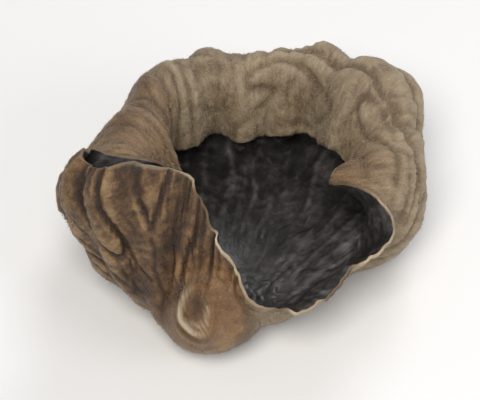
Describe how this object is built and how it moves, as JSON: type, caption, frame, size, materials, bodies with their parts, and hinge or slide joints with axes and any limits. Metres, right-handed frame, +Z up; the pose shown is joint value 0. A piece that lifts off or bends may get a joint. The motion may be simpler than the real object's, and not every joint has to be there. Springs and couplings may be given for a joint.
{
  "type": "wood ear mushroom",
  "caption": "Dried wood ear mushroom: a curled, leathery cup with a thick rolled-over band at the back, a wrinkled lobe in front and a black hollow.",
  "frame": {"origin": "middle of the outline, on the floor that the ear lies on", "axes": "+Z up out of the hollow, +Y towards the rolled-over band at the back, -Y towards the cut knob"},
  "size_m": [0.068, 0.07, 0.0431],
  "materials": {
    "dried_skin": "dry felted tan skin outside, smooth black-brown skin in the hollow"
  },
  "bodies": {
    "root": {"wood_ear": "dried_skin"}
  },
  "joints": []
}
